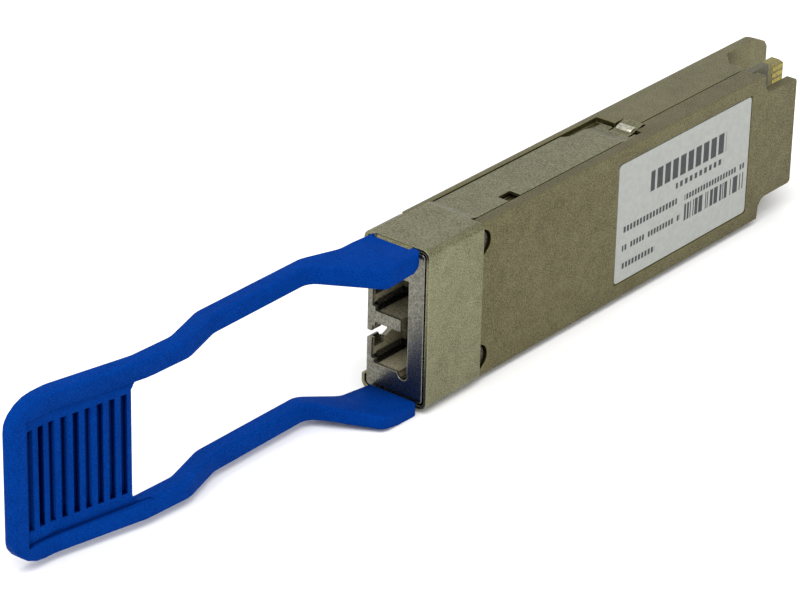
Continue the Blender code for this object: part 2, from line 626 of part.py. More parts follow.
def make_tab(frame, finish):
    tab = place("pull_tab", prism_mesh("pull_tab", tab_outline(), "Z", -H - PAST, H + PAST), frame, finish)
    end = -TAB_REACH
    beyond = end - 0.2
    top = ROOT_MIDDLE + ROOT_THICKNESS / 2 - TAB_DROOP
    bottom = -ROOT_MIDDLE - ROOT_THICKNESS / 2 - TAB_DROOP
    plan = rounded([(PAST, bottom, 0), (-FIT, bottom, 0), (-3.5, bottom, 3), (-9.0, -TAB_HALF, 4),
                    (beyond, -TAB_HALF, TAB_CORNER), (beyond, TAB_HALF, TAB_CORNER), (-9.0, TAB_HALF, 4),
                    (-3.5, top, 3), (-FIT, top, 0), (PAST, top, 0)], 6)
    combine(tab, prism_mesh("plan", plan, "Y", -10, 10), "INTERSECT")
    arm = TAB_HALF - TAB_ARM
    under, over = top - ROOT_THICKNESS, bottom + ROOT_THICKNESS
    window = rounded([(-TAB_WINDOW, -arm, 1.0), (-10.5, -arm, 3), (-4.5, over + 0.3, 3), (-FIT, over, 0),
                      (PAST, over, 0), (PAST, under, 0), (-FIT, under, 0), (-1.8, arm + 0.25, 0.8),
                      (-6.0, arm, 2), (-TAB_WINDOW, arm, 1.0)])
    combine(tab, prism_mesh("window", window, "Y", -10, 10))
    first, last = end + TAB_RIM, -TAB_WINDOW + PAST
    web = [(first, -10), (first, grip_near(first) + TAB_WEB_DROP),
           (end + 5.5, grip_near(end + 5.5) + TAB_WEB_DROP), (last, grip_near(last) + TAB_WEB_DROP),
           (last, -10)]
    half = arm + 0.1
    combine(tab, prism_mesh("web", web, "Z", -half, half))
    for i in range(GROOVES):
        x = end + TAB_RIM + 0.9 + i * GROOVE_PITCH
        floor = grip_near(x) + TAB_WEB_DROP + GROOVE_DEPTH
        cut_box(tab, (x - GROOVE_WIDTH / 2, -10, -GROOVE_HALF), (x + GROOVE_WIDTH / 2, floor, GROOVE_HALF))
    across = TONGUE_HALF + TONGUE_FIT
    thick = TONGUE_SHEET / 2 + TONGUE_FIT
    for side in (-1, 1):
        middle = side * ROOT_MIDDLE - TAB_DROOP
        cut_box(tab, (-TONGUE_REACH - FIT, -across, middle - thick), (PAST, across, middle + thick))
    cut_box(tab, (-0.8, -across - 0.02, ROOT_MIDDLE - TAB_DROOP), (PAST, across + 0.02, H + PAST))
    smooth(tab, 40)


# ---------------------------------------------------------------- assembly

clear_scene()
parts = bpy.data.collections.new("optical_transceiver")
cutters = bpy.data.collections.new("cutters")
bpy.context.scene.collection.children.link(parts)
bpy.context.scene.collection.children.link(cutters)

lowest = ROOT_MIDDLE + ROOT_THICKNESS / 2 + TAB_DROOP
origin = Vector(((TAB_REACH - BODY_LENGTH) / 2, -(SLEEVE_NEAR + TAB_FAR) / 2, lowest)) * MM
module = bpy.data.objects.new("module_frame", None)
latch = bpy.data.objects.new("latch_frame", None)
for empty in (module, latch):
    empty.location = origin
    bpy.context.scene.collection.objects.link(empty)

zinc = material("cast_zinc", (0.52, 0.50, 0.44), 0.45, 1.0)
nose_zinc = material("nose_zinc", (0.60, 0.58, 0.50), 0.30, 1.0)
steel = material("slider_steel", (0.60, 0.59, 0.54), 0.40, 1.0)
ceramic = material("ceramic", (0.85, 0.84, 0.80), 0.30, 0.0)
gold = material("gold_plate", (0.85, 0.65, 0.25), 0.25, 1.0)
copper_flex = material("flex_circuit", (0.55, 0.30, 0.08), 0.40, 0.0)
board_green = material("circuit_board", (0.08, 0.16, 0.07), 0.45, 0.0)
chip_black = material("chip_black", (0.03, 0.03, 0.03), 0.50, 0.0)
pad_grey = material("thermal_pad", (0.45, 0.50, 0.55), 0.80, 0.0)
sticker = material("label_stock", (0.88, 0.89, 0.92), 0.45, 0.0)
blue = material("blue_moulding", (0.01, 0.09, 0.55), 0.45, 0.0)

make_top_shell(module, zinc)
make_bottom_cover(module, zinc)
make_receptacle(module, nose_zinc)
make_screws(module, steel)
make_label(module, sticker)
make_barrels(module, ceramic)
make_optics(module, gold, copper_flex)
make_board(module, board_green)
make_board_parts(module, chip_black, steel, pad_grey)
make_springs(module, steel)
make_slider(latch, steel)
make_tab(latch, blue)
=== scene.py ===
"""Finished look of a pluggable optical transceiver: cast shells, latch slider and blue pull tab."""
import math

import bmesh
import bpy
from mathutils import Matrix, Vector


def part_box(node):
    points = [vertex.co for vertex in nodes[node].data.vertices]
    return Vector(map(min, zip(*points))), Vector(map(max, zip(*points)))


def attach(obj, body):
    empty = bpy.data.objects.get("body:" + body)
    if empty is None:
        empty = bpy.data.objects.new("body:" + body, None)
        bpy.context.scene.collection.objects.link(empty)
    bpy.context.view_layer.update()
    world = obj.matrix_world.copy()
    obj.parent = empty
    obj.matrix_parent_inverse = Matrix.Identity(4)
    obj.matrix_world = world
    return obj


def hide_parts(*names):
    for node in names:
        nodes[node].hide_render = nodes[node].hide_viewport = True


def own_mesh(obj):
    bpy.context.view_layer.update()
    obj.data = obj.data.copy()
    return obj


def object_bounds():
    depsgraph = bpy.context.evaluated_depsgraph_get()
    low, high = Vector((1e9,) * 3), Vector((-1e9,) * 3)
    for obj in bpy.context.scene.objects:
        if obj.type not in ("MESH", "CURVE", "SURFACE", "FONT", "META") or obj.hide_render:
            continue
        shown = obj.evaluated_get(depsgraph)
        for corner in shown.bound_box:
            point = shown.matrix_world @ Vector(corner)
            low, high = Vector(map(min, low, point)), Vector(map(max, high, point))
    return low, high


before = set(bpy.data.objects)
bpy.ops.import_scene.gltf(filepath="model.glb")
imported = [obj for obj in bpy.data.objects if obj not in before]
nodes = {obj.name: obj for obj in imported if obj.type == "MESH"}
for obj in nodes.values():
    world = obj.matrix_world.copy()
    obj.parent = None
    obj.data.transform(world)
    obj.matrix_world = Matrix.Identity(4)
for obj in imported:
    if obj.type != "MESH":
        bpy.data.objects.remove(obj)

cad_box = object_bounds()
bpy.ops.object.select_all(action="DESELECT")


# ---------------------------------------------------------------- upper half shell
# The upper half is a zinc die casting, tumbled and left bare.  Its skin is a fine warm grey grain
# with slightly brighter edges where it has rubbed in use.  It carries every other piece.

MM = 0.001


def link(tree, source, target):
    """Join an output to an input."""
    tree.links.new(source, target)


def put(tree, kind, **settings):
    """Add one node with its settings."""
    node = tree.nodes.new(kind)
    for key, value in settings.items():
        setattr(node, key, value)
    return node


def arithmetic(tree, kind, first, second):
    """Add one step of arithmetic on two values or sockets."""
    node = put(tree, "ShaderNodeMath", operation=kind)
    for index, value in enumerate((first, second)):
        if isinstance(value, (int, float)):
            node.inputs[index].default_value = value
        else:
            link(tree, value, node.inputs[index])
    return node.outputs[0]


def ramp(tree, source, low, high, to_low=0.0, to_high=1.0):
    """Stretch a value from one range to another, held at both ends."""
    node = put(tree, "ShaderNodeMapRange", clamp=True)
    link(tree, source, node.inputs["Value"])
    node.inputs["From Min"].default_value = low
    node.inputs["From Max"].default_value = high
    node.inputs["To Min"].default_value = to_low
    node.inputs["To Max"].default_value = to_high
    return node.outputs["Result"]


def blend_colours(tree, share, first, second):
    """Mix two colours or sockets by a share."""
    node = put(tree, "ShaderNodeMix", data_type="RGBA")
    for key, value in ((0, share), (6, first), (7, second)):
        if isinstance(value, (int, float)):
            node.inputs[key].default_value = value
        elif isinstance(value, tuple):
            node.inputs[key].default_value = (*value, 1.0)
        else:
            link(tree, value, node.inputs[key])
    return node.outputs[2]


def noise(tree, coordinates, scale, detail=2.0, rough=0.5):
    """Add one noise, with its scale in grains a metre."""
    node = put(tree, "ShaderNodeTexNoise")
    node.inputs["Detail"].default_value = detail
    node.inputs["Roughness"].default_value = rough
    link(tree, coordinates, node.inputs["Vector"])
    if isinstance(scale, (int, float)):
        node.inputs["Scale"].default_value = scale
    else:
        link(tree, scale, node.inputs["Scale"])
    return node.outputs[0]


def new_group(name, takes, gives):
    """Start a node group with named inputs and outputs."""
    group = bpy.data.node_groups.new(name, "ShaderNodeTree")
    for label, kind, value in takes:
        socket = group.interface.new_socket(label, in_out="INPUT", socket_type=kind)
        socket.default_value = value
    for label, kind in gives:
        group.interface.new_socket(label, in_out="OUTPUT", socket_type=kind)
    return group, group.nodes.new("NodeGroupInput"), group.nodes.new("NodeGroupOutput")


FLOAT = "NodeSocketFloat"
COLOUR = "NodeSocketColor"
VECTOR = "NodeSocketVector"

# Rubbed edges: how close a point is to a corner, and the normal of the corner eased round.
rubbed_edges, taken, given = new_group(
    "rubbed_edges",
    [("Radius", FLOAT, 0.2 * MM)],
    [("Edge", FLOAT), ("Eased", VECTOR)])
eased = put(rubbed_edges, "ShaderNodeBevel", samples=6)
link(rubbed_edges, taken.outputs["Radius"], eased.inputs["Radius"])
facing = put(rubbed_edges, "ShaderNodeNewGeometry")
lean = put(rubbed_edges, "ShaderNodeVectorMath", operation="DOT_PRODUCT")
link(rubbed_edges, eased.outputs["Normal"], lean.inputs[0])
link(rubbed_edges, facing.outputs["True Normal"], lean.inputs[1])
away = arithmetic(rubbed_edges, "SUBTRACT", 1.0, lean.outputs["Value"])
link(rubbed_edges, ramp(rubbed_edges, away, 0.02, 0.25), given.inputs["Edge"])
link(rubbed_edges, eased.outputs["Normal"], given.inputs["Eased"])

# Metal grain: a colour between two tones, with fine pits, tumbling marks and broad patches of
# handling.  Moulded and fired solids use it too, at their own grain.
metal_grain, taken, given = new_group(
    "metal_grain",
    [("Dark", COLOUR, (0.1, 0.1, 0.1, 1.0)), ("Light", COLOUR, (0.3, 0.3, 0.3, 1.0)),
     ("Grains", FLOAT, 4500.0), ("Smooth", FLOAT, 0.3), ("Rough", FLOAT, 0.5)],
    [("Colour", COLOUR), ("Roughness", FLOAT), ("Height", FLOAT)])
HANDLING_PATCHES = 90.0
TUMBLING_PATCHES = 700.0
FINE_SHARE = 0.78
HANDLING_SHARE = 0.10
TUMBLING_SHARE = 0.12
place = put(metal_grain, "ShaderNodeTexCoord").outputs["Object"]
fine = noise(metal_grain, place, taken.outputs["Grains"], detail=3.0, rough=0.6)
broad = noise(metal_grain, place, HANDLING_PATCHES, detail=3.0, rough=0.55)
middle = noise(metal_grain, place, TUMBLING_PATCHES)
tone = arithmetic(metal_grain, "ADD",
                  arithmetic(metal_grain, "MULTIPLY", fine, FINE_SHARE),
                  arithmetic(metal_grain, "MULTIPLY", broad, HANDLING_SHARE))
tone = arithmetic(metal_grain, "ADD", tone,
                  arithmetic(metal_grain, "MULTIPLY", middle, TUMBLING_SHARE))
share = ramp(metal_grain, tone, 0.38, 0.62)
link(metal_grain, blend_colours(metal_grain, share, taken.outputs["Dark"],
                                taken.outputs["Light"]), given.inputs["Colour"])
gloss = put(metal_grain, "ShaderNodeMapRange", clamp=True)
link(metal_grain, tone, gloss.inputs["Value"])
gloss.inputs["From Min"].default_value = 0.35
gloss.inputs["From Max"].default_value = 0.65
link(metal_grain, taken.outputs["Rough"], gloss.inputs["To Min"])
link(metal_grain, taken.outputs["Smooth"], gloss.inputs["To Max"])
link(metal_grain, gloss.outputs["Result"], given.inputs["Roughness"])
link(metal_grain, tone, given.inputs["Height"])


def roughen(tree, height, strength, depth, normal=None):
    """Raise a material's surface by a height map, over an eased normal where one is given."""
    bump = put(tree, "ShaderNodeBump")
    bump.inputs["Strength"].default_value = strength
    bump.inputs["Distance"].default_value = depth
    link(tree, height, bump.inputs["Height"])
    if normal is not None:
        link(tree, normal, bump.inputs["Normal"])
    link(tree, bump.outputs["Normal"], tree.nodes["Principled BSDF"].inputs["Normal"])


def grained_skin(name, dark, light, grains, smooth, rough, pits, radius,
                 edge_share, edge_light, pit_strength):
    """Start a material with a mottled colour, brighter rubbed edges and fine pits."""
    material = bpy.data.materials.new(name)
    material.use_nodes = True
    tree = material.node_tree
    shader = tree.nodes["Principled BSDF"]
    grain = put(tree, "ShaderNodeGroup", node_tree=metal_grain)
    grain.inputs["Dark"].default_value = (*dark, 1.0)
    grain.inputs["Light"].default_value = (*light, 1.0)
    grain.inputs["Grains"].default_value = grains
    grain.inputs["Smooth"].default_value = smooth
    grain.inputs["Rough"].default_value = rough
    edges = put(tree, "ShaderNodeGroup", node_tree=rubbed_edges)
    edges.inputs["Radius"].default_value = radius
    rubbed = tuple(min(1.0, value * edge_light) for value in light)
    share = arithmetic(tree, "MULTIPLY", edges.outputs["Edge"], edge_share)
    link(tree, blend_colours(tree, share, grain.outputs["Colour"], rubbed),
         shader.inputs["Base Color"])
    link(tree, grain.outputs["Roughness"], shader.inputs["Roughness"])
    roughen(tree, grain.outputs["Height"], pit_strength, pits, edges.outputs["Eased"])
    return material


def bare_metal(name, dark, light, grains, smooth, rough, pits, radius, edge_light=1.35):
    """One bare or plated metal, with its edges rubbed bright."""
    material = grained_skin(name, dark, light, grains, smooth, rough, pits, radius,
                            edge_share=0.7, edge_light=edge_light, pit_strength=0.5)
    shader = material.node_tree.nodes["Principled BSDF"]
    shader.inputs["Metallic"].default_value = 1.0
    return material


def finish(node, material):
    """Give every slot of a node one material."""
    for slot in nodes[node].material_slots:
        slot.link = "OBJECT"
        slot.material = material


tumbled_zinc = bare_metal("tumbled_zinc", (0.085, 0.076, 0.034), (0.215, 0.198, 0.100),
                          grains=6500.0, smooth=0.34, rough=0.5,
                          pits=0.05 * MM, radius=0.2 * MM)
finish("top_shell", tumbled_zinc)


# ---------------------------------------------------------------- optics and their sleeves
# Two gold-plated optical housings hold white ceramic sleeves that line up the fibre ferrules.
# The housings drop into the upper half and are bonded there.

plated_gold = bare_metal("plated_gold", (0.55, 0.37, 0.12), (0.85, 0.62, 0.25),
                         grains=2600.0, smooth=0.2, rough=0.34,
                         pits=0.01 * MM, radius=0.15 * MM, edge_light=1.1)
finish("transmitter_optics", plated_gold)
finish("receiver_optics", plated_gold)


def plain_solid(name, dark, light, grains, smooth, rough, pits, radius, specular=0.5,
                edge_share=0.25, edge_light=1.4):
    """One moulded, fired or pressed solid: mottled colour, soft corners and a fine skin."""
    material = grained_skin(name, dark, light, grains, smooth, rough, pits, radius,
                            edge_share, edge_light, pit_strength=0.4)
    shader = material.node_tree.nodes["Principled BSDF"]
    shader.inputs["Specular IOR Level"].default_value = specular
    return material


white_ceramic = plain_solid("white_ceramic", (0.68, 0.67, 0.63), (0.82, 0.81, 0.78),
                            grains=5000.0, smooth=0.16, rough=0.28,
                            pits=0.004 * MM, radius=0.1 * MM)
finish("ferrule_sleeve_tx", white_ceramic)
finish("ferrule_sleeve_rx", white_ceramic)


# ---------------------------------------------------------------- circuit board
# A glass-epoxy board carries the drivers on the cover side and ends in a gold edge connector.
# The solder mask stops short of the contacts, where the laminate shows.

MASK_END = 3.4 * MM
MASK_FADE = 0.1 * MM
WARP_BANDS = 420.0
WEFT_BANDS = 380.0


def board_laminate():
    """Solder mask with woven glass showing through, and bare laminate at the connector."""
    material = bpy.data.materials.new("board_laminate")
    material.use_nodes = True
    tree = material.node_tree
    shader = tree.nodes["Principled BSDF"]
    shader.inputs["Specular IOR Level"].default_value = 0.4
    place = put(tree, "ShaderNodeTexCoord").outputs["Object"]
    parts = put(tree, "ShaderNodeSeparateXYZ")
    link(tree, place, parts.inputs["Vector"])
    threads = []
    for direction, bands in (("X", WARP_BANDS), ("Z", WEFT_BANDS)):
        thread = put(tree, "ShaderNodeTexWave", wave_type="BANDS", bands_direction=direction)
        thread.inputs["Scale"].default_value = bands
        thread.inputs["Distortion"].default_value = 1.2
        link(tree, place, thread.inputs["Vector"])
        threads.append(thread.outputs["Fac"])
    cloth = arithmetic(tree, "MULTIPLY", *threads)
    mask = blend_colours(tree, cloth, (0.060, 0.056, 0.026), (0.095, 0.088, 0.045))
    bare = blend_colours(tree, cloth, (0.14, 0.12, 0.02), (0.23, 0.19, 0.035))
    bare_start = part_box("main_board")[1][0] - MASK_END
    uncovered = ramp(tree, parts.outputs["X"], bare_start, bare_start + MASK_FADE)
    link(tree, blend_colours(tree, uncovered, mask, bare), shader.inputs["Base Color"])
    link(tree, ramp(tree, noise(tree, place, 1800.0), 0.3, 0.7, 0.38, 0.5),
         shader.inputs["Roughness"])
    roughen(tree, cloth, strength=0.3, depth=0.02 * MM)
    return material


finish("main_board", board_laminate())


# ---------------------------------------------------------------- edge contacts
# Nineteen fingers stand on each side of the board's rear end, side by side at one pitch.
# They are copper foil plated with hard gold, and stand just proud of the laminate.

CONTACT_PITCH = 0.8 * MM
CONTACT_WIDTH = 0.54 * MM
CONTACT_LENGTH = 2.2 * MM
CONTACT_SKIN = 0.035 * MM
CONTACT_COUNT = 19
CONTACT_SETBACK = 0.35 * MM
CONTACT_EASE = 0.012 * MM


def slab(name, low, high, ease):
    """Model one slab between two corners with its edges eased."""
    bpy.ops.object.select_all(action="DESELECT")
    low, high = Vector(low), Vector(high)
    bpy.ops.mesh.primitive_cube_add(size=1.0, location=(low + high) / 2.0)
    piece = bpy.context.active_object
    piece.name = name
    piece.scale = high - low
    bpy.ops.object.transform_apply(location=True, rotation=True, scale=True)
    bpy.ops.object.mode_set(mode="EDIT")
    bpy.ops.mesh.select_all(action="SELECT")
    bpy.ops.mesh.bevel(offset=ease, segments=2, affect="EDGES")
    bpy.ops.object.mode_set(mode="OBJECT")
    return piece


def dress(piece, material, body):
    """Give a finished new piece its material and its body."""
    piece.data.materials.clear()
    piece.data.materials.append(material)
    piece.select_set(False)
    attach(piece, body)


hard_gold = bare_metal("hard_gold", (0.20, 0.16, 0.030), (0.33, 0.27, 0.062),
                       grains=3000.0, smooth=0.24, rough=0.38,
                       pits=0.006 * MM, radius=0.08 * MM, edge_light=1.1)
board_low, board_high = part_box("main_board")
board_middle = (board_low[2] + board_high[2]) / 2.0
finger_end = board_high[0] - CONTACT_SETBACK
first = board_middle - CONTACT_PITCH * (CONTACT_COUNT - 1) / 2.0
for side, face, outward in (("near", board_low[1], -1.0), ("far", board_high[1], 1.0)):
    outer = face + outward * CONTACT_SKIN
    inner = face - outward * CONTACT_SKIN
    finger = slab("contact_fingers_" + side,
                  (finger_end - CONTACT_LENGTH, min(outer, inner), first - CONTACT_WIDTH / 2.0),
                  (finger_end, max(outer, inner), first + CONTACT_WIDTH / 2.0), CONTACT_EASE)
    row = finger.modifiers.new("row", "ARRAY")
    row.count = CONTACT_COUNT
    row.use_relative_offset = False
    row.use_constant_offset = True
    row.constant_offset_displace = (0.0, 0.0, CONTACT_PITCH)
    bpy.context.view_layer.objects.active = finger
    bpy.ops.object.modifier_apply(modifier=row.name)
    dress(finger, hard_gold, "module")


# ---------------------------------------------------------------- board parts, flexes and pads
# Moulded drivers, a controller, an inductor and a small crystal can are soldered to the board.
# Polyimide flexes join the optics to it, and soft pads carry heat to the upper half.

chip_moulding = plain_solid("chip_moulding", (0.012, 0.012, 0.013), (0.03, 0.03, 0.032),
                            grains=5200.0, smooth=0.4, rough=0.55,
                            pits=0.012 * MM, radius=0.1 * MM)
for chip in ("laser_driver", "receiver_amplifier", "controller", "power_inductor"):
    finish(chip, chip_moulding)
crystal_can = bare_metal("crystal_can", (0.42, 0.42, 0.40), (0.62, 0.62, 0.60),
                         grains=2400.0, smooth=0.2, rough=0.34,
                         pits=0.005 * MM, radius=0.1 * MM)
finish("clock_crystal", crystal_can)
amber_flex = plain_solid("amber_flex", (0.42, 0.18, 0.03), (0.60, 0.28, 0.06),
                         grains=1500.0, smooth=0.24, rough=0.38,
                         pits=0.005 * MM, radius=0.08 * MM)
finish("transmitter_flex", amber_flex)
finish("receiver_flex", amber_flex)
heat_pad = plain_solid("heat_pad", (0.38, 0.44, 0.50), (0.50, 0.56, 0.62),
                       grains=3600.0, smooth=0.6, rough=0.8,
                       pits=0.02 * MM, radius=0.1 * MM)
finish("thermal_pad_board", heat_pad)
finish("thermal_pad_optics", heat_pad)


# ---------------------------------------------------------------- return springs
# Two small compression springs of drawn stainless wire push the slider back home.
# Each lies in a pocket in a narrow side of the shell.

spring_wire = bare_metal("spring_wire", (0.30, 0.30, 0.29), (0.52, 0.52, 0.50),
                         grains=5200.0, smooth=0.2, rough=0.34,
                         pits=0.004 * MM, radius=0.05 * MM)
TOUCHING = 0.002 * MM


def merged_copy(node, name):
    """Copy a CAD node with its doubled points merged, and leave the copy active."""
    bpy.ops.object.select_all(action="DESELECT")
    piece = nodes[node].copy()
    piece.data = nodes[node].data.copy()
    piece.name = name
    bpy.context.scene.collection.objects.link(piece)
    piece.select_set(True)
    bpy.context.view_layer.objects.active = piece
    bpy.ops.object.mode_set(mode="EDIT")
    bpy.ops.mesh.select_all(action="SELECT")
    bpy.ops.mesh.remove_doubles(threshold=TOUCHING)
    bpy.ops.object.mode_set(mode="OBJECT")
    return piece


for spring_node in ("return_spring_lower", "return_spring_upper"):
    coil = merged_copy(spring_node, spring_node.replace("return_spring", "coiled_wire"))
    bpy.ops.object.shade_smooth_by_angle(angle=math.radians(60.0))
    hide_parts(spring_node)
    dress(coil, spring_wire, "module")
    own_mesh(coil)


# ---------------------------------------------------------------- fibre port nose
# The nose is a zinc die casting with a pair of fibre ports.  Its walls are a little brighter than
# the shells because it was not tumbled, so it mirrors the blue tab beside it.

NEAR_WALL = 1.2 * MM
FAR_WALL = 0.3 * MM
FAR_GROOVE_FACE = 1.35 * MM
MOUTH_RIM = 0.1 * MM
MOUTH_DEPTH = 0.5 * MM
PORTS_BELOW = 6.6 * MM
PORTS_ABOVE = 5.7 * MM
PORT_FLOORS = (-6.0 * MM, 0.25 * MM)
CHANNEL_RISE = (-0.1 * MM, 0.75 * MM)
HOLE_RISE = (2.2 * MM, 3.9 * MM)
HOLE_DEPTH = (0.8 * MM, 2.2 * MM)
cast_nose = bare_metal("cast_nose", (0.12, 0.115, 0.09), (0.24, 0.232, 0.19),
                       grains=4200.0, smooth=0.22, rough=0.36,
                       pits=0.03 * MM, radius=0.18 * MM)
nose_low, nose_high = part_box("lc_receptacle")
nose_middle = (nose_low[2] + nose_high[2]) / 2.0


def between(tree, value, start, end, soft=0.05 * MM):
    """One inside a range, nothing outside it."""
    rise = ramp(tree, value, start - soft, start + soft)
    fall = ramp(tree, value, end - soft, end + soft, 1.0, 0.0)
    return arithmetic(tree, "MULTIPLY", rise, fall)


# Painted crease shade: how deep a point sits in a groove or corner, from none to all, for shade
# painted into the colour there.
painted_crease_shade, taken, given = new_group(
    "painted_crease_shade", [("Reach", FLOAT, 1.0 * MM)], [("Crease", FLOAT)])
open_sky = put(painted_crease_shade, "ShaderNodeAmbientOcclusion", samples=8, only_local=True)
link(painted_crease_shade, taken.outputs["Reach"], open_sky.inputs["Distance"])
link(painted_crease_shade, ramp(painted_crease_shade, open_sky.outputs["AO"], 0.35, 0.85, 1.0, 0.0),
     given.inputs["Crease"])


def paint_shade_in_creases(tree, skin, reach, dark):
    """Paint shade into a colour where the surface folds in on itself."""
    shade = put(tree, "ShaderNodeGroup", node_tree=painted_crease_shade)
    shade.inputs["Reach"].default_value = reach
    return blend_colours(tree, shade.outputs["Crease"], skin, dark)


# The ports' inner walls are duller than the outside: a bright non-metal beige, painted light that
# makes them read as lit, with painted shade darkening their corners and further in.
tree = cast_nose.node_tree
shader = tree.nodes["Principled BSDF"]
place = put(tree, "ShaderNodeTexCoord").outputs["Object"]
parts = put(tree, "ShaderNodeSeparateXYZ")
link(tree, place, parts.inputs["Vector"])
inside = ramp(tree, parts.outputs["X"], nose_low[0] + MOUTH_RIM, nose_low[0] + MOUTH_DEPTH)
inside = arithmetic(tree, "MULTIPLY", inside, between(
    tree, parts.outputs["Y"], nose_low[1] + NEAR_WALL, nose_high[1] - FAR_WALL))
inside = arithmetic(tree, "MULTIPLY", inside, between(
    tree, parts.outputs["Z"], nose_middle - PORTS_BELOW, nose_middle + PORTS_ABOVE))
link(tree, ramp(tree, inside, 0.0, 1.0, 1.0, 0.2), shader.inputs["Metallic"])
outer_skin = shader.inputs["Base Color"].links[0].from_socket
port_painted_light_and_shade = blend_colours(tree, noise(tree, place, 3800.0, detail=3.0),
                          (0.20, 0.18, 0.11), (0.52, 0.48, 0.33))
port_painted_light_and_shade = paint_shade_in_creases(tree, port_painted_light_and_shade, 2.2 * MM, (0.10, 0.088, 0.055))

# Each port has a latch channel low in its far wall and a latch hole near its mouth. Neither is cut:
# both are dark marks of painted shade in the port walls' colour.
far_wall = between(tree, parts.outputs["Y"],
                   nose_high[1] - FAR_GROOVE_FACE, nose_high[1] - FAR_WALL)
near_mouth = between(tree, parts.outputs["X"],
                     nose_low[0] + HOLE_DEPTH[0], nose_low[0] + HOLE_DEPTH[1])
for floor in PORT_FLOORS:
    port_floor = nose_middle + floor
    painted_channel_shade = between(tree, parts.outputs["Z"],
                      port_floor + CHANNEL_RISE[0], port_floor + CHANNEL_RISE[1])
    painted_channel_shade = arithmetic(tree, "MULTIPLY", painted_channel_shade, far_wall)
    painted_channel_shade = arithmetic(tree, "MULTIPLY", painted_channel_shade, inside)
    port_painted_light_and_shade = blend_colours(tree, painted_channel_shade, port_painted_light_and_shade, (0.012, 0.010, 0.008))
    painted_hole_shade = between(tree, parts.outputs["Z"],
                   port_floor + HOLE_RISE[0], port_floor + HOLE_RISE[1])
    painted_hole_shade = arithmetic(tree, "MULTIPLY", painted_hole_shade, far_wall)
    painted_hole_shade = arithmetic(tree, "MULTIPLY", painted_hole_shade, near_mouth)
    port_painted_light_and_shade = blend_colours(tree, painted_hole_shade, port_painted_light_and_shade, (0.03, 0.022, 0.015))
link(tree, blend_colours(tree, inside, outer_skin, port_painted_light_and_shade), shader.inputs["Base Color"])
finish("lc_receptacle", cast_nose)


# ---------------------------------------------------------------- lower half shell and screws
# The labelled cover is cast in the same zinc as the upper half and closes over the board.
# Its broad face is a little darker, with the same tumbled grain.  Two plated steel screws by
# the nose hold it down.

tumbled_cover = bare_metal("tumbled_cover", (0.065, 0.056, 0.023), (0.170, 0.154, 0.074),
                           grains=6500.0, smooth=0.34, rough=0.5,
                           pits=0.05 * MM, radius=0.2 * MM)
finish("bottom_cover", tumbled_cover)

zinc_screw = bare_metal("zinc_screw", (0.03, 0.026, 0.018), (0.085, 0.075, 0.052),
                        grains=3200.0, smooth=0.24, rough=0.4,
                        pits=0.01 * MM, radius=0.1 * MM)
finish("front_screw_lower", zinc_screw)
finish("front_screw_upper", zinc_screw)


# ---------------------------------------------------------------- latch slider
# One folded sheet of stainless steel wraps the nose and sends an arm down each narrow side.
# It has a fine matt skin, brighter along its bends, and slides on the cast shells.

matt_steel = bare_metal("matt_steel", (0.100, 0.095, 0.051), (0.260, 0.253, 0.150),
                        grains=6500.0, smooth=0.30, rough=0.44,
                        pits=0.04 * MM, radius=0.16 * MM, edge_light=1.5)
finish("latch_slider", matt_steel)

# The rear end of each arm is rolled up into a short tip that trips the cage's catch. The tip's
# steel is painted far brighter than the slider's, a painted highlight on the curl.
tip_steel_painted_highlight = bare_metal("tip_steel_painted_highlight", (0.30, 0.295, 0.22), (0.62, 0.61, 0.50),
                          grains=4200.0, smooth=0.22, rough=0.34,
                          pits=0.01 * MM, radius=0.12 * MM, edge_light=1.2)
TIP_RADIUS = 0.42 * MM
TIP_LENGTH = 2.1 * MM
TIP_STRETCH = 1.7
TIP_ROUNDING = 0.12 * MM
TIP_SETBACK = 1.5 * MM
TIP_INSET = 0.62 * MM
TIP_CENTRE = -1.2 * MM
slider_low, slider_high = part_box("latch_slider")
for name, level in (("rolled_tip_upper", slider_high[2] - TIP_INSET),
                    ("rolled_tip_lower", slider_low[2] + TIP_INSET)):
    bpy.ops.object.select_all(action="DESELECT")
    tip_place = (slider_high[0] - TIP_SETBACK, TIP_CENTRE, level)
    bpy.ops.mesh.primitive_cylinder_add(vertices=24, radius=TIP_RADIUS, depth=TIP_LENGTH,
                                        location=tip_place, rotation=(math.pi / 2.0, 0.0, 0.0))
    tip = bpy.context.active_object
    tip.name = name
    bpy.ops.object.transform_apply(location=True, rotation=True, scale=True)
    bpy.ops.object.mode_set(mode="EDIT")
    bpy.ops.mesh.select_all(action="SELECT")
    bpy.ops.transform.resize(value=(TIP_STRETCH, 1.0, 1.0), center_override=tip_place)
    bpy.ops.object.mode_set(mode="OBJECT")
    rounding = tip.modifiers.new("rounding", "BEVEL")
    rounding.width = TIP_ROUNDING
    rounding.segments = 2
    rounding.limit_method = "ANGLE"
    rounding.angle_limit = math.radians(50.0)
    bpy.ops.object.modifier_apply(modifier=rounding.name)
    bpy.ops.object.shade_smooth_by_angle(angle=math.radians(40.0))
    dress(tip, tip_steel_painted_highlight, "latch")


# ---------------------------------------------------------------- label
# A white polyester label is stuck to the cover.  Its print is plain ruled lines and a bar pattern
# that stand in for the maker's text, with no lettering.

LABEL_INK = (0.03, 0.03, 0.035)
INK_EDGE = 0.03 * MM
INK_DEPTH = 0.01 * MM
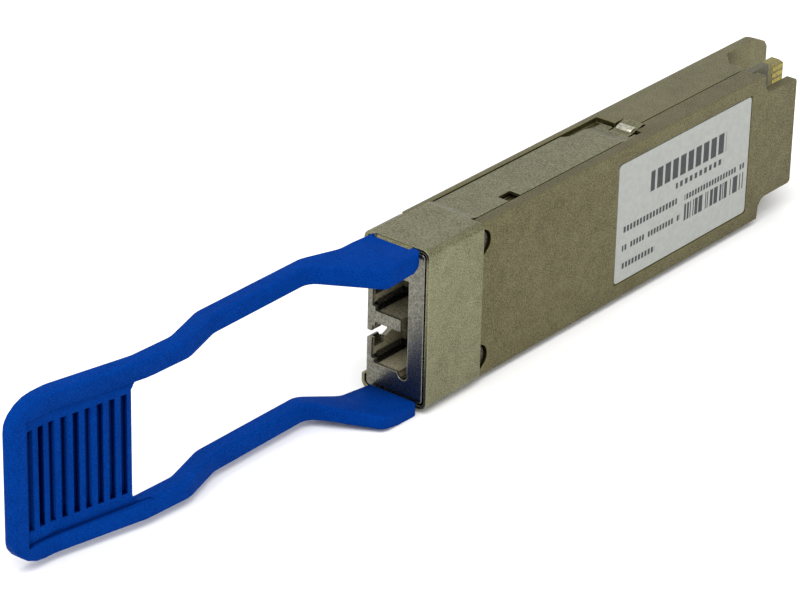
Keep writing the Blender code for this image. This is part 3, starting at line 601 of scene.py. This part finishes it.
# Each row, in millimetres: start and end along the label, bottom and top across it, width of a
# cell; then its seed, the share of its cells that are printed and the inked part of each.
LABEL_ROWS = ((1.2, 11.6, 6.0, 6.75, 0.62, 11.5, 0.90, 0.66),
              (1.2, 12.4, 3.75, 4.45, 0.56, 23.5, 0.88, 0.66),
              (13.1, 25.0, 5.9, 6.6, 0.56, 37.5, 0.90, 0.66),
              (13.1, 25.0, 3.3, 5.4, 0.19, 51.5, 0.55, 1.1),
              (1.2, 7.6, 1.5, 2.2, 0.62, 67.5, 0.90, 0.66),
              (6.2, 21.0, 9.4, 11.9, 1.5, 80.5, 1.1, 0.72),
              (11.2, 20.6, 8.0, 8.7, 0.95, 95.5, 1.1, 0.55))


def printed_cells(tree, value, width, seed, bar_share, inked):
    """A seeded row of cells, each one printed over part of its width or left blank."""
    position = arithmetic(tree, "DIVIDE", value, width)
    step = arithmetic(tree, "FLOOR", position, 0.0)
    pick = put(tree, "ShaderNodeTexWhiteNoise", noise_dimensions="1D")
    link(tree, arithmetic(tree, "ADD", step, seed), pick.inputs["W"])
    printed = arithmetic(tree, "LESS_THAN", pick.outputs["Value"], bar_share)
    covered = arithmetic(tree, "LESS_THAN", arithmetic(tree, "FRACT", position, 0.0), inked)
    return arithmetic(tree, "MULTIPLY", printed, covered)


def label_stock():
    """Off-white film with dashed rules and bars printed on its outer face."""
    material = bpy.data.materials.new("label_stock_printed")
    material.use_nodes = True
    tree = material.node_tree
    shader = tree.nodes["Principled BSDF"]
    shader.inputs["Specular IOR Level"].default_value = 0.3
    place = put(tree, "ShaderNodeTexCoord").outputs["Object"]
    parts = put(tree, "ShaderNodeSeparateXYZ")
    link(tree, place, parts.inputs["Vector"])
    along, up = parts.outputs["X"], parts.outputs["Z"]
    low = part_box("label")[0]
    ink = None
    for start, end, bottom, top, width, seed, bar_share, inked in LABEL_ROWS:
        box = arithmetic(tree, "MULTIPLY",
                         between(tree, along, low[0] + start * MM, low[0] + end * MM, INK_EDGE),
                         between(tree, up, low[2] + bottom * MM, low[2] + top * MM, INK_EDGE))
        cells = printed_cells(tree, along, width * MM, seed, bar_share, inked)
        mark = arithmetic(tree, "MULTIPLY", box, cells)
        ink = mark if ink is None else arithmetic(tree, "MAXIMUM", ink, mark)
    outer_face = ramp(tree, parts.outputs["Y"], low[1] + INK_DEPTH, low[1] + 2.0 * INK_DEPTH,
                      1.0, 0.0)
    ink = arithmetic(tree, "MULTIPLY", ink, outer_face)
    film = blend_colours(tree, ramp(tree, noise(tree, place, 1600.0), 0.35, 0.65),
                         (0.315, 0.327, 0.302), (0.345, 0.357, 0.332))
    link(tree, blend_colours(tree, ink, film, LABEL_INK), shader.inputs["Base Color"])
    link(tree, ramp(tree, noise(tree, place, 2400.0), 0.3, 0.7, 0.45, 0.6),
         shader.inputs["Roughness"])
    roughen(tree, noise(tree, place, 3000.0), strength=0.2, depth=0.01 * MM)
    return material


finish("label", label_stock())


# ---------------------------------------------------------------- pull tab
# The tab is one blue nylon moulding clipped over the slider's tongues.  Its outer edges are
# rounded by the mould, and the grip has nine grooves for the fingertips.

TAB_ROUNDING = 0.25 * MM
TAB_SHARP_EDGE = math.radians(50.0)
TAB_MERGE = 0.01 * MM
TAB_SLIVER = 0.003 * MM
TONGUE_COVER = 1.6 * MM
GRIP_LENGTH = 15.0 * MM
GRIP_HALF = 7.3 * MM
GRIP_RIM = 0.2 * MM
RUN_OUT_ALONG = (14.0 * MM, 19.0 * MM)
RUN_OUT_ACROSS = (6.0 * MM, 7.6 * MM)
RUN_OUT_FACE = 7.4 * MM
tab_blue = plain_solid("tab_blue", (0.0004, 0.021, 0.150), (0.0008, 0.040, 0.255),
                       grains=7000.0, smooth=0.5, rough=0.66,
                       pits=0.03 * MM, radius=0.35 * MM,
                       specular=0.008, edge_share=0.1, edge_light=1.15)
tree = tab_blue.node_tree
shader = tree.nodes["Principled BSDF"]
tab_skin = shader.inputs["Base Color"].links[0].from_socket
# Painted shade darkens the tab's grooves and corners to a deep navy.
link(tree, paint_shade_in_creases(tree, tab_skin, 1.2 * MM, (0.0002, 0.0006, 0.03)),
     shader.inputs["Base Color"])

tab = merged_copy("pull_tab", "moulded_tab")
bpy.ops.object.mode_set(mode="EDIT")
bpy.ops.mesh.select_all(action="SELECT")
bpy.ops.mesh.dissolve_limited(angle_limit=math.radians(1.0))
bpy.ops.mesh.select_all(action="DESELECT")
tab_low, tab_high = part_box("pull_tab")
tab_middle = (tab_low[2] + tab_high[2]) / 2.0
tab_mesh = bmesh.from_edit_mesh(tab.data)
for edge in tab_mesh.edges:
    at = (edge.verts[0].co + edge.verts[1].co) / 2.0
    level = abs(at.z - tab_middle)
    past_end = at.x - tab_low[0]
    # Three places stay crisp: the fit over the tongues, the grooves in their recess, and the
    # corner where that recess runs out.
    at_tongues = tab_high[0] - at.x < TONGUE_COVER
    in_grip = past_end < GRIP_LENGTH and level < GRIP_HALF and at.y < tab_high[1] - GRIP_RIM
    at_run_out = (RUN_OUT_ALONG[0] < past_end < RUN_OUT_ALONG[1]
                  and RUN_OUT_ACROSS[0] < level < RUN_OUT_ACROSS[1]
                  and at.y < tab_low[1] + RUN_OUT_FACE)
    if at_tongues or in_grip or at_run_out or len(edge.link_faces) != 2:
        continue
    if edge.calc_face_angle(0.0) > TAB_SHARP_EDGE:
        edge.select = True
bmesh.update_edit_mesh(tab.data)
bpy.ops.mesh.bevel(offset=TAB_ROUNDING, segments=3, affect="EDGES", clamp_overlap=False)
bpy.ops.mesh.select_all(action="SELECT")
bpy.ops.mesh.remove_doubles(threshold=TAB_MERGE)
bpy.ops.mesh.dissolve_degenerate(threshold=TAB_SLIVER)
bpy.ops.object.mode_set(mode="OBJECT")
bpy.ops.object.shade_smooth_by_angle(angle=math.radians(35.0))
tab.data.materials.clear()
tab.data.materials.append(tab_blue)
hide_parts("pull_tab")
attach(tab, "latch")
tab.select_set(False)


# ---------------------------------------------------------------- table, light and camera
# The module stands on a narrow side on a plain white table under broad soft lamps.
# The camera looks down on it from beyond the pull tab.

TABLE_SIZE = 6.0
TABLE_GAP = 0.02 * MM
bpy.ops.object.select_all(action="DESELECT")
bpy.ops.mesh.primitive_grid_add(x_subdivisions=8, y_subdivisions=8, size=TABLE_SIZE,
                                location=(0.0, 0.0, cad_box[0][2] - TABLE_GAP))
table = bpy.context.active_object
table.name = "table"
bpy.ops.object.transform_apply(location=True, rotation=True, scale=True)
table.select_set(False)
white_table = bpy.data.materials.new("white_table")
white_table.use_nodes = True
tree = white_table.node_tree
shader = tree.nodes["Principled BSDF"]
shader.inputs["Specular IOR Level"].default_value = 0.1
place = put(tree, "ShaderNodeTexCoord").outputs["Object"]
link(tree, blend_colours(tree, noise(tree, place, 3.0), (0.93, 0.93, 0.93), (0.96, 0.96, 0.96)),
     shader.inputs["Base Color"])
shader.inputs["Roughness"].default_value = 0.9
table.data.materials.append(white_table)

world = bpy.data.worlds.new("studio")
bpy.context.scene.world = world
world.use_nodes = True
sky = world.node_tree.nodes["Background"]
sky.inputs["Color"].default_value = (1.0, 1.0, 1.0, 1.0)
sky.inputs["Strength"].default_value = 1.0

middle = Vector([(cad_box[0][i] + cad_box[1][i]) / 2.0 for i in range(3)])
# Each lamp: name, azimuth and elevation in degrees, distance and size in metres, power in watts.
LAMPS = (("key_lamp", -75.0, 62.0, 0.9, 0.7, 5.2), ("fill_lamp", -10.0, 48.0, 1.1, 0.9, 1.8))
for name, turn, rise, reach, size, power in LAMPS:
    lamp = bpy.data.lights.new(name, "AREA")
    lamp.size = size
    lamp.energy = power
    holder = bpy.data.objects.new(name, lamp)
    bpy.context.scene.collection.objects.link(holder)
    side, lift = math.radians(turn), math.radians(rise)
    arm = Vector((math.sin(side) * math.cos(lift), -math.cos(side) * math.cos(lift),
                  math.sin(lift)))
    holder.location = middle + arm * reach
    holder.rotation_euler = arm.to_track_quat("Z", "Y").to_euler()

AZIMUTH = math.radians(-51.41)
ELEVATION = math.radians(26.85)
ROLL = math.radians(1.38)
CAMERA_PLACE = (-0.289125, -0.22405, 0.193225)
FOCAL_LENGTH = 171.045
SENSOR_WIDTH = 36.0
back = Vector((math.sin(AZIMUTH) * math.cos(ELEVATION),
               -math.cos(AZIMUTH) * math.cos(ELEVATION), math.sin(ELEVATION)))
right = Vector((math.cos(AZIMUTH), math.sin(AZIMUTH), 0.0))
up = back.cross(right)
across = right * math.cos(ROLL) + up * math.sin(ROLL)
upward = up * math.cos(ROLL) - right * math.sin(ROLL)
lens = bpy.data.cameras.new("viewing_camera")
lens.lens = FOCAL_LENGTH
lens.sensor_width = SENSOR_WIDTH
lens.clip_start = 0.01
camera = bpy.data.objects.new("viewing_camera", lens)
bpy.context.scene.collection.objects.link(camera)
camera.matrix_world = Matrix((
    (across.x, upward.x, back.x, CAMERA_PLACE[0]),
    (across.y, upward.y, back.y, CAMERA_PLACE[1]),
    (across.z, upward.z, back.z, CAMERA_PLACE[2]),
    (0.0, 0.0, 0.0, 1.0)))
bpy.context.scene.camera = camera
bpy.context.scene.view_settings.view_transform = "Standard"
